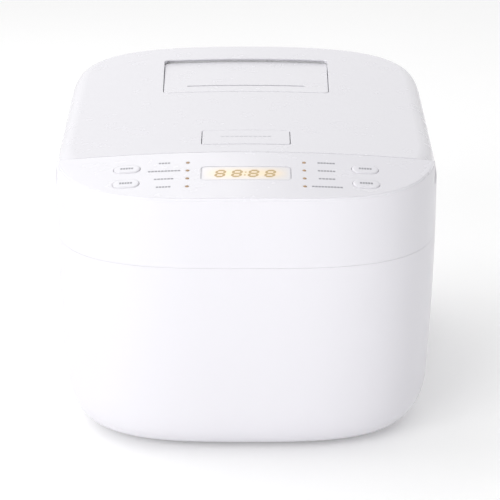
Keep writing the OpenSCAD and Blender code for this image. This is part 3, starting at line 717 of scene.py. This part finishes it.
def make_upper_casing():
    bottom, edge = SEAM_Z + 0.04, 0.3
    rings = [at(outline(casing_inset(bottom) + i), bottom + h) for i, h in reversed(round_over(edge))]
    rings += [at(outline(casing_inset(z)), z) for z in UPPER_ZS]
    rings += [at(outline(i), RIM_Z - h) for i, h in round_over(0.6)]
    shell = ring_object("upper_casing", rings)
    housing_top = [at(crescent(0, PANEL_BACK), z) for z in (RIM_Z - 10, RIM_Z - 2)]
    housing_top.append(at(crescent(0, PANEL_BACK), lambda x, y: panel_z(x, y) - PANEL_T))
    add(shell, ring_object("housing", housing_top))
    under = [at(outline(casing_inset(z) + WALL), z) for z in (SEAM_Z - 1, 160, DECK_Z - DECK_T)]
    cut(shell, ring_object("under_deck", under))
    well_loop = lid_outline(WALL, PANEL_BACK)
    cut(shell, ring_object("above_deck", [at(well_loop, DECK_Z), at(well_loop, RIM_Z + 1)]))
    pocket = [at(crescent(WALL, PANEL_BACK - WALL), DECK_Z - DECK_T - 1)]
    pocket.append(at(crescent(WALL, PANEL_BACK - WALL), BODY_H + 5))
    cut(shell, ring_object("panel_pocket", pocket))
    collar_z0, collar_z1 = high("well_liner").z, DECK_Z - 1
    inner, outer = COLLAR_R - 1, COLLAR_R + COLLAR_T
    collar = [(inner, collar_z0), (outer, collar_z0), (outer, collar_z1), (inner, collar_z1)]
    add(shell, lathe("collar", collar, (0, POT_Y, 0)))
    trough = swing_room(2)
    keep(trough, ring_object("trough_limit", [at(outline(1), 170), at(outline(1), RIM_Z)]))
    add(shell, trough)
    well = [(0, 150), (COLLAR_R, 150), (COLLAR_R, DECK_Z - 0.8)]
    lip = ((0.1, 0.3), (0.35, 0.6), (0.8, 0.85), (1.6, 1.2))
    well += [(COLLAR_R + i, DECK_Z - 0.8 + h) for i, h in lip]
    well += [(COLLAR_R + 1.6, CLEAR_ABOVE), (0, CLEAR_ABOVE)]
    cut(shell, lathe("well", well, (0, POT_Y, 0)))
    cut(shell, swing_room(0))
    cut(shell, block("hook_slot", (-14, PANEL_BACK + 0.01, 170), (14, PANEL_BACK + 14, 230)))
    return finished(shell, M["white_casing"], "base", "white_casing", "upper_shell")


# ---------- Key panel ----------


def panel_cutter(x, y, w, l, r):
    """A hole through the panel with a tiny rounded lip."""
    rings = [at(rounded_rectangle(w, l, r), z) for z in (-14, -0.35)]
    for grow, z in ((0.04, -0.2), (0.14, -0.08), (0.3, 0.0), (0.5, 0.06), (0.5, 8)):
        rings.append(at(rounded_rectangle(w + 2 * grow, l + 2 * grow, r + grow), z))
    return ring_object("panel_hole", rings, on_panel(x, y))


KEY_X = 84.5
KEY_ROWS = (-131.0, -151.0)
KEY_SPOTS = {
    "menu_key": (-KEY_X, KEY_ROWS[0]),
    "timer_key": (-KEY_X, KEY_ROWS[1]),
    "start_key": (KEY_X, KEY_ROWS[0]),
    "warm_key": (KEY_X, KEY_ROWS[1]),
}
KEY_L, KEY_W = 19.0, 11.0
LED_X = 41.3
LED_ROWS = (-124.8, -135.7, -146.6, -157.5)


def make_control_panel():
    inset, edge = 0.1, 0.7
    rings = [at(crescent(inset, PANEL_BACK), lambda x, y: panel_z(x, y) - PANEL_T)]
    for i, h in round_over(edge):
        loop = crescent(inset + i, PANEL_BACK - i * 0.5)
        rings.append(at(loop, lambda x, y, h=h: panel_z(x, y) - h))
    panel = ring_object("control_panel_skin", rings)
    cut(panel, panel_cutter(0, DISPLAY_Y, DISPLAY_W + 0.4, DISPLAY_L + 0.4, 3.2))
    for x, y in KEY_SPOTS.values():
        cut(panel, panel_cutter(x, y, KEY_L + 0.36, KEY_W + 0.36, KEY_W / 2 + 0.08))
    for x in (-LED_X, LED_X):
        for y in LED_ROWS:
            cut(panel, panel_cutter(x, y, 2.7, 2.7, 1.3))
    return finished(panel, M["white_gloss"], "base", "white_gloss", "control_panel")


def make_keys():
    for name, (x, y) in KEY_SPOTS.items():
        rings = [at(rounded_rectangle(KEY_L, KEY_W, KEY_W / 2 - 0.1), -3.0)]
        rings.append(at(rounded_rectangle(KEY_L, KEY_W, KEY_W / 2 - 0.1), -0.3))
        for i, h in round_over(1.0, 6):
            loop = rounded_rectangle(KEY_L - 3 * i, KEY_W - 3 * i, KEY_W / 2 - 0.1 - 1.5 * i)
            rings.append(at(loop, 0.75 - 0.9 * h))
        crowned = rounded_rectangle(KEY_L - 6, KEY_W - 6, KEY_W / 2 - 3.1)
        rings.append(at(crowned, 0.85))
        key = ring_object(name + "_cap", rings, on_panel(x, y))
        finished(key, M["white_gloss"], name, "white_gloss", name)


def make_display_gap_shadow(surface):
    """A fine grey line painted around the display's edge: painted shadow of the gap between the lens and
    the panel.
    """
    margin, width, extra = 0.3, 0.5, 0.2
    line = []
    for inset, taller in ((margin, 0.0), (margin + width, extra)):
        w, l, r = DISPLAY_W - 2 * inset, DISPLAY_L - 2 * inset, 3.0 - inset
        loop = rounded_rectangle(w, l, r, (0, DISPLAY_Y))
        below = at(loop, lambda x, y: surface(x, y) - 0.05 - taller)
        above = at(loop, lambda x, y: surface(x, y) + 0.03 + taller)
        line.append(ring_object("display_gap_shadow" if not line else "line", [below, above]))
    return cut(*line)


def make_display():
    """The display's lens, a little below the panel's face."""

    def surface(x, y):
        return panel_z(x, y) - 0.12

    rings = []
    loop = rounded_rectangle(DISPLAY_W, DISPLAY_L, 3.0, (0, DISPLAY_Y))
    rings.append(at(loop, lambda x, y: panel_z(x, y) - 1.6))
    for i, h in round_over(0.25, 3):
        loop = rounded_rectangle(DISPLAY_W - 2 * i, DISPLAY_L - 2 * i, 3.0 - i, (0, DISPLAY_Y))
        rings.append(at(loop, lambda x, y, h=h: surface(x, y) - h))
    lens = ring_object("display_lens", rings)
    finished(lens, M["display_lens"], "base", "display_lens", "display_window")
    # The grey line at the lens's edge is painted shadow of the gap around the display.
    finished(make_display_gap_shadow(surface), GAP_SHADOW_PAINT, "base", "display_lens")


SEGMENTS = "abcdefg"
DIGITS_Y = DISPLAY_Y - 0.3
DIGIT_H, DIGIT_W, STROKE, SLANT = 8.2, 5.6, 2.0, 0.16


def segment_loop(which):
    """Outline of one bar of a seven-bar digit, around the digit's middle."""
    half_h, half_w, s = DIGIT_H / 2, DIGIT_W / 2, STROKE / 2
    gap = 0.16
    places = {
        "a": (0, half_h, "across"), "g": (0, 0, "across"), "d": (0, -half_h, "across"),
        "f": (-half_w, half_h / 2, "up"), "b": (half_w, half_h / 2, "up"),
        "e": (-half_w, -half_h / 2, "up"), "c": (half_w, -half_h / 2, "up"),
    }
    cx, cy, way = places[which]
    length = (DIGIT_W if way == "across" else half_h) / 2 - gap
    tip = length - s
    bar = [(length, 0), (tip, s), (-tip, s), (-length, 0), (-tip, -s), (tip, -s)]
    if way == "up":
        bar = [(y, x) for x, y in bar]
    return [(cx + x + SLANT * (cy + y), cy + y) for x, y in bar]


def flat_piece(name, loops, lift, thickness, material, slot, body="base", surface=panel_z):
    """Thin printed or lit shapes that lie on a surface. Each loop is in plan, in millimetres."""
    bm = bmesh.new()
    for loop in loops:
        top, bottom = [], []
        for x, y in loop:
            z = surface(x, y) + lift
            top.append(bm.verts.new(Vector((x, y, z)) * MM))
            bottom.append(bm.verts.new(Vector((x, y, z - thickness)) * MM))
        bm.faces.new(top)
        bm.faces.new(list(reversed(bottom)))
        n = len(loop)
        for k in range(n):
            j = (k + 1) % n
            bm.faces.new((top[k], bottom[k], bottom[j], top[j]))
    obj = new_object(name, bm)
    return finished(obj, material, body, slot)


def make_digits():
    """Four glowing figures of the clock display, with the two dots between the pairs."""
    pitch, middle, loops = 11.75, -0.5, []
    for x0 in [middle + pitch * k for k in (-1.5, -0.5, 0.5, 1.5)]:
        for which in SEGMENTS:
            loops.append([(x0 + x, DIGITS_Y + y) for x, y in segment_loop(which)])
    for y in (-2.2, 1.8):
        loops.append(dash(middle + SLANT * y, DIGITS_Y + y, 1.4, 1.4))
    flat_piece("display_digits", loops, -0.10, 0.12, LIT_DIGITS, "led_amber")


def make_indicators():
    """Small domed lights, on stalks that end just above the circuit board."""
    dots = []
    for x in (-LED_X, LED_X):
        for y in LED_ROWS:
            profile = [(0, -9.2), (1.25, -9.2), (1.25, -0.1), (1.1, 0.1), (0.75, 0.26), (0, 0.34)]
            dot = lathe("dot", profile, segments=32)
            dot.data.transform(Matrix.Scale(MM, 4) @ on_panel(x, y) @ Matrix.Scale(1 / MM, 4))
            dots.append(dot)
    lights = joined("indicator_lights", dots)
    finished(lights, M["led_amber"], "base", "led_amber", "indicator_leds")


def joined(name, pieces):
    """One object from several, each still its own closed mesh."""
    bm = bmesh.new()
    for p in pieces:
        bm.from_mesh(p.data)
        bpy.data.objects.remove(p)
    return new_object(name, bm)


def dash(x, y, length, width):
    """The loop of one printed mark around x and y."""
    return rounded_rectangle(length, width, 0.3, (x, y), corner_steps=3, across=2)


def make_labels():
    """Rows of plain marks where the panel's labels stand."""
    widths_left, widths_right = (8.5, 23.3, 14.1, 10.6), (12.7, 12.7, 12.0, 21.9)
    letter_pitch = 2.3
    loops = []
    for y, pair in zip(LED_ROWS, zip(widths_left, widths_right)):
        for centre, width in zip((-58, 57), pair):
            count = round(width / letter_pitch)
            pitch = width / count
            for k in range(count):
                loops.append(dash(centre + (k + 0.5) * pitch - width / 2, y, pitch * 0.84, 1.9))
    flat_piece("panel_dashes", loops, 0.02, 0.06, LABEL_INK, "white_gloss")
    for name, (x, y) in KEY_SPOTS.items():
        marks = [dash(x + 1.9 * k, y - 0.2, 1.5, 2.3) for k in range(-2, 3)]
        mark = flat_piece(name + "_mark", marks, 0.0, 0.06, LABEL_INK, "white_gloss", name)
        mark.data.transform(Matrix.Translation(on_panel(x, y).col[2].to_3d() * 0.87 * MM))


# ---------- Lid ----------

FRONT_EDGE_R = 0.6
VENT_FLARE = 0.026


def front_step(below):
    """How far the lid's front edge is rounded back at this depth below the crown."""
    if below >= FRONT_EDGE_R:
        return 0.0
    return FRONT_EDGE_R * (1 - math.sqrt(1 - ((FRONT_EDGE_R - below) / FRONT_EDGE_R) ** 2))


def lid_rings(d, z0, front, edge):
    """Loops of the lid's face moved inward by d, from z0 to the crown."""
    r = LID_EDGE_R - d
    base = LID_STEP + d
    if edge:
        rings = [at(lid_outline(base + i, front), z0 + h) for i, h in reversed(round_over(edge))]
    else:
        rings = [at(lid_outline(base, front), z0)]
    for a in range(0, 91, 5):
        t = math.radians(a)
        below = r * (1 - math.sin(t))
        loop = lid_outline(base + r * (1 - math.cos(t)), front + front_step(below))
        rings.append(at(loop, lambda x, y, b=below: crown_z(x) - d - b))
    return rings


def crown_pocket(w, l, r, centre, lip, floor_z, flare=0.0):
    """A cutter for a pocket in the lid's top, with a rounded lip that follows the crown."""
    rings = [at(rounded_rectangle(w, l, r, centre, flare=flare), floor_z)]
    for angle in (0, 25, 50, 75, 90):
        t = math.radians(angle)
        grow, below = lip * (1 - math.cos(t)), lip * (1 - math.sin(t))
        loop = rounded_rectangle(w + 2 * grow, l + 2 * grow, r + grow, centre, flare=flare)
        rings.append(at(loop, lambda x, y, b=below: crown_z(x) - b))
    loop = rounded_rectangle(w + 2 * lip + 0.4, l + 2 * lip + 0.4, r + lip, centre, flare=flare)
    rings.append(at(loop, lambda x, y: crown_z(x) + 0.05))
    rings.append(at(loop, BODY_H + 10))
    return ring_object("pocket", rings)


def undercut(w, y0, y1, drop):
    """A cutter that thins the lid from below between y0 and y1, and leaves a skin of the thickness drop."""
    xs = [w / 2 - w * i / 24 for i in range(25)]
    loop = two_halves(xs, lambda x: y1, lambda x: y0)
    return ring_object("undercut", [at(loop, 190), at(loop, lambda x, y: crown_z(x) - drop)])


def gap_around(node, r, gaps, flare=0.0):
    """A pocket around a node in the lid's top, with gaps at its sides, front and rear."""
    side, front, rear = gaps
    a, b = low(node), high(node)
    centre = (0, (a.y + b.y + rear - front) / 2)
    return crown_pocket(b.x - a.x + 2 * side, b.y - a.y + front + rear, r, centre, 0.5, 190, flare)


def make_lid():
    lid = ring_object("lid_skin", lid_rings(0, LID_Z, LID_FRONT, 0.5))
    inner = ring_object("lid_hollow", lid_rings(LID_WALL, LID_Z - 1, LID_FRONT + LID_WALL, 0))
    cut(lid, inner)
    cut(lid, gap_around("vent_cover", 5, (0.38, 1.0, 1.0), VENT_FLARE))
    rear_y_edge = high("vent_cover").y + 1.0
    width = high("vent_cover").x - low("vent_cover").x
    cut(lid, undercut(width - 2, rear_y_edge - 1, rear_y_edge + 2.2, 1.0))
    cut(lid, gap_around("release_button", 3, (0.42, 1.3, 0.15)))
    return finished(lid, M["white_gloss"], "lid", "white_gloss", "lid_cover")


def plan(node):
    """A node's width, its length and its middle in plan."""
    a, b = low(node), high(node)
    return b.x - a.x, b.y - a.y, (0, (a.y + b.y) / 2)


def make_release_button():
    """The button's cap with the leg that pushes the latch, and ears with pivot pins at its rear."""
    w, l, centre = plan("release_button")
    top = 0.05
    rings = [at(rounded_rectangle(w, l, 2.4, centre), lambda x, y: crown_z(x) - 2.4)]
    for i, h in round_over(0.5):
        loop = rounded_rectangle(w - 2 * i, l - 2 * i, 2.4 - i, centre)
        rings.append(at(loop, lambda x, y, h=h: crown_z(x) - top - h))
    cap = ring_object("release_button_cap", rings)
    leg_top, ear_top = crown_z(7) - 1, crown_z(26) - 1
    legs = [block("leg", (-7, -88, 205.5), (7, -84, leg_top))]
    y, z = AXIS_Y, AXIS_Z
    ear = [(-70, z - 2), (y, z - 2), (y + 2, z), (y, z + 2), (-66, z + 2), (-66, ear_top), (-70, ear_top)]
    for side in (-1, 1):
        legs.append(prism("ear", side * 24 - 2, side * 24 + 2, ear))
        pin = [(0, side * 28 - 3), (1.4, side * 28 - 3), (1.4, side * 28 + 3), (0, side * 28 + 3)]
        legs.append(lathe("pin", pin, (0, y, z), 24, axis="X"))
    add(cap, *legs)
    marks = [dash(3.4 * k, centre[1] + 1.0, 2.6, 1.9) for k in range(-5, 6)]
    flat_piece("button_dashes", marks, 0.02 - top, 0.07, BUTTON_INK, "white_gloss", "release_button",
               lambda x, y: crown_z(x))
    return finished(cap, M["white_gloss"], "release_button", "white_gloss", "release_button")


def make_vent_cover():
    """The lift-off steam vent: a plate with a slit, level with the lid in front and sunk at the rear."""
    w, l, centre = plan("vent_cover")
    front, sink = low("vent_cover").y, 2.7

    def top(x, y):
        return crown_z(x) - 0.05 - (sink - 0.05) * (y - front) / l

    rings = [at(rounded_rectangle(w, l, 4.5, centre, flare=VENT_FLARE), lambda x, y: top(x, y) - 2.4)]
    for i, h in round_over(0.6):
        loop = rounded_rectangle(w - 2 * i, l - 2 * i, 4.5 - i, centre, flare=VENT_FLARE)
        rings.append(at(loop, lambda x, y, h=h: top(x, y) - h))
    cover = ring_object("vent_cover_plate", rings)
    slit_y, slit_w, slit_l = 55.0, 2.6, 92.0
    loop = rounded_rectangle(slit_l, slit_w, slit_w / 2 - 0.02, (0, slit_y))
    flare = rounded_rectangle(slit_l + 0.3, slit_w + 0.3, slit_w / 2 + 0.13, (0, slit_y))
    rings = [at(loop, lambda x, y: top(x, y) - 4), at(loop, lambda x, y: top(x, y) - 0.15)]
    rings += [at(flare, lambda x, y: top(x, y) + 0.02), at(flare, BODY_H + 5)]
    cut(cover, ring_object("slit", rings))
    return finished(cover, M["white_gloss"], "vent", "white_gloss", "vent_cover")


def make_vent_well():
    """The steam well under the vent cover, with walls that reach the lid's underside."""
    w, l, centre = plan("vent_well")
    bottom, wall = low("vent_well").z, 1.8

    def ceiling(x, y):
        return crown_z(x) - LID_WALL - 0.05

    outer = rounded_rectangle(w, l, 6, centre)
    well = ring_object("vent_well_tray", [at(outer, bottom), at(outer, ceiling)])
    floor, rings = bottom + 2, []
    for i, h in reversed(round_over(1.5)):
        loop = rounded_rectangle(w - 2 * (wall + i), l - 2 * (wall + i), 5 - i, centre)
        rings.append(at(loop, floor + h))
    inner = rounded_rectangle(w - 2 * wall, l - 2 * wall, 5, centre)
    cut(well, ring_object("tray", rings + [at(inner, BODY_H + 4)]))
    cut(well, lathe("drain", [(0, 190), (7, 190), (7, 210), (0, 210)], (0, STEAM_Y, 0), 64))
    return finished(well, M["pale_plastic"], "lid", "pale_plastic", "vent_well")


# ---------- Pot, well and inner lid ----------


def arc(cx, cz, r, a0, a1, steps=8):
    """Profile points on a circle around cx and cz, from angle a0 to a1 in degrees."""
    return [
        (cx + r * math.cos(math.radians(a0 + (a1 - a0) * i / steps)),
         cz + r * math.sin(math.radians(a0 + (a1 - a0) * i / steps)))
        for i in range(steps + 1)
    ]


def make_pot():
    bottom, top = low("inner_pot").z, high("inner_pot").z
    rim_r = high("inner_pot").x
    pot_r, t, corner, rim_t = 110.0, 2.2, 20.0, 1.6
    inner = corner - t
    profile = [(0, bottom)] + arc(pot_r - corner, bottom + corner, corner, -90, 0, 16)
    profile += arc(pot_r + 0.8, top - rim_t - 0.8, 0.8, 180, 90, 4)
    profile += arc(rim_r - rim_t / 2, top - rim_t / 2, rim_t / 2, -90, 90, 10)
    profile += arc(pot_r - t + 1.5, top - 1.5, 1.5, 90, 180, 6)
    profile += arc(pot_r - corner, bottom + corner, inner, 0, -90, 16) + [(0, bottom + t)]
    pot = lathe("inner_pot_body", profile, (0, POT_Y, 0), 256)
    finished(pot, M["nonstick"], "pot", "nonstick", "inner_pot")


def make_liner():
    floor, top = low("well_liner").z, high("well_liner").z
    r, t, rim = 115.5, 1.5, 122.0
    profile = [(24, floor)] + arc(r + t - 4, floor + 4, 4, -90, 0)
    profile += arc(r + t + 0.6, top - t - 0.6, 0.6, 180, 90, 3) + [(rim, top - t), (rim, top)]
    profile += arc(r + 1.2, top - 1.2, 1.2, 90, 180, 4) + arc(r + t - 4, floor + 4, 2.5, 0, -90)
    profile += [(24, floor + t)]
    liner = lathe("well_liner_sheet", profile, (0, POT_Y, 0), 256)
    finished(liner, M["liner_steel"], "base", "liner_steel", "well_liner")


def make_inner_lid():
    z0, z1 = low("inner_lid").z, high("inner_lid").z
    plate = [(4.9, 183), (69, 183), (71, 182.6), (72.5, 182.1), (74, z0), (102, z0), (103.5, 182.1)]
    plate += [(105, 182.6), (107, 183), (112, 183), (112, z1), (106.6, z1), (104.6, 183.8), (103.1, 183.3)]
    plate += [(101.6, 183.2), (74.4, 183.2), (72.9, 183.3), (71.4, 183.8), (69.4, z1), (4.9, z1)]
    disc = lathe("inner_lid_disc", plate, (0, POT_Y, 0), 256)
    steam = lathe("steam_hole", [(0, 180), (7, 180), (7, 190), (0, 190)], (0, STEAM_Y, 0), 64)
    cut(disc, steam)
    finished(disc, M["cast_alu"], "lid", "cast_alu", "inner_lid")


def make_sealing_ring():
    z0, z1 = low("sealing_ring").z, high("sealing_ring").z
    profile = [(109, 181.9), (110.4, 181.5), (112.5, 181), (113.8, z0 + 0.25)]
    profile += [(114.4, z0), (114.9, z0 + 0.3), (115, 181.2), (114.7, 184)]
    profile += [(114.5, z1 - 0.5), (114, z1), (109.6, z1), (109, z1 - 0.6), (109, 184.2), (112, 184.2)]
    profile += [(112, 183), (109, 183)]
    ring = lathe("sealing_ring_lip", profile, (0, POT_Y, 0), 256)
    finished(ring, M["silicone"], "lid", "silicone", "sealing_ring")


def make_sensor_spring():
    """The coil under the sensor cap, which shortens as the pot's weight pushes the cap down."""
    z0, z1 = low("sensor_spring").z, high("sensor_spring").z
    r, wire, turns, per_turn, sides = 8.2, 0.6, 4, 32, 10
    count = turns * per_turn
    bm = bmesh.new()
    loops = []
    for i in range(count + 1):
        turn, z = 2 * math.pi * i / per_turn, z0 + wire + (z1 - z0 - 2 * wire) * i / count
        loop = []
        for k in range(sides):
            a = 2 * math.pi * k / sides
            reach = r + wire * math.cos(a)
            spot = (reach * math.cos(turn), POT_Y + reach * math.sin(turn), z + wire * math.sin(a))
            loop.append(bm.verts.new(Vector(spot) * MM))
        loops.append(loop)
    for a, b in zip(loops, loops[1:]):
        for k in range(sides):
            j = (k + 1) % sides
            bm.faces.new((a[k], a[j], b[j], b[k]))
    bm.faces.new(loops[0])
    bm.faces.new(loops[-1])
    spring = finished(new_object("sensor_spring_coil", bm), M["spring_steel"], "base", "spring_steel",
                      "sensor_spring")
    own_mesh(spring)


make_lower_casing()
make_upper_casing()
make_control_panel()
make_keys()
make_display()
make_digits()
make_indicators()
make_labels()
make_lid()
make_release_button()
make_vent_cover()
make_vent_well()
make_pot()
make_liner()
make_inner_lid()
make_sealing_ring()
make_sensor_spring()

# ---------- Stage ----------


def make_floor():
    """A plain pale floor with a faint glow of its own, so that it is as white as the backdrop."""
    size = 6.0
    corners = ((-size, -size), (size, -size), (size, size), (-size, size))
    bm = bmesh.new()
    bm.faces.new([bm.verts.new((x, y, 0)) for x, y in corners])
    floor = new_object("floor", bm)
    f = Finish("pale_floor")
    f.base(f.tint(f.noise(3), (0.97, 0.97, 0.97), (0.98, 0.98, 0.98)))
    f.set(Roughness=0.9, Emission_Color=(1, 1, 1, 1), Emission_Strength=0.08)
    floor.data.materials.append(f.material)


def area_light(name, place, target, size, power):
    """A soft square light at place, turned to target."""
    data = bpy.data.lights.new(name, "AREA")
    data.size = size
    data.energy = power
    light = bpy.data.objects.new(name, data)
    light.location = place
    light.rotation_euler = (Vector(target) - Vector(place)).to_track_quat("-Z", "Y").to_euler()
    bpy.context.scene.collection.objects.link(light)


def make_camera():
    """The camera stands in front and above, far back, as in a product photograph."""
    elevation = math.radians(20.6)
    distance = 1.835
    aim = Vector((0, 0, 0.105))
    data = bpy.data.cameras.new("camera")
    data.lens = 170.1
    data.shift_x = 0.008
    data.shift_y = -0.0206
    camera = bpy.data.objects.new("camera", data)
    back = Vector((0, -math.cos(elevation), math.sin(elevation)))
    camera.location = aim + back * distance
    camera.rotation_euler = (-back).to_track_quat("-Z", "Y").to_euler()
    bpy.context.scene.collection.objects.link(camera)
    bpy.context.scene.camera = camera


def make_world():
    """An even studio, brighter towards the back wall."""
    world = bpy.data.worlds.new("studio")
    world.use_nodes = True
    tree = world.node_tree
    background = tree.nodes["Background"]
    background.inputs["Color"].default_value = (1.0, 1.0, 1.0, 1)
    direction = tree.nodes.new("ShaderNodeTexCoord").outputs["Generated"]
    rearward = tree.nodes.new("ShaderNodeVectorMath")
    rearward.operation = "DOT_PRODUCT"
    rearward.inputs[1].default_value = (-0.12, 0.95, 0)
    tree.links.new(direction, rearward.inputs[0])
    ramp = tree.nodes.new("ShaderNodeMapRange")
    ramp.inputs["From Min"].default_value = -1.0
    ramp.inputs["From Max"].default_value = 1.0
    ramp.inputs["To Min"].default_value = 0.21
    ramp.inputs["To Max"].default_value = 1.1
    tree.links.new(rearward.outputs["Value"], ramp.inputs["Value"])
    tree.links.new(ramp.outputs["Result"], background.inputs["Strength"])
    bpy.context.scene.world = world


make_floor()
make_world()
area_light("key", (-1.25, -1.85, 1.0), (0, 0, 0.1), 1.5, 25.4)
area_light("front", (0.1, -2.3, 0.6), (0, 0, 0.1), 1.2, 10.8)
area_light("top", (-0.7, 0.1, 1.15), (0, 0, 0.2), 0.8, 3.2)
area_light("back", (-0.25, 0.65, 1.05), (0, 0.05, 0.2), 0.6, 1.7)
area_light("rim", (1.6, 1.4, 0.2), (0, 0, 0.1), 0.6, 5.6)
make_camera()
bpy.context.scene.view_settings.view_transform = "Standard"
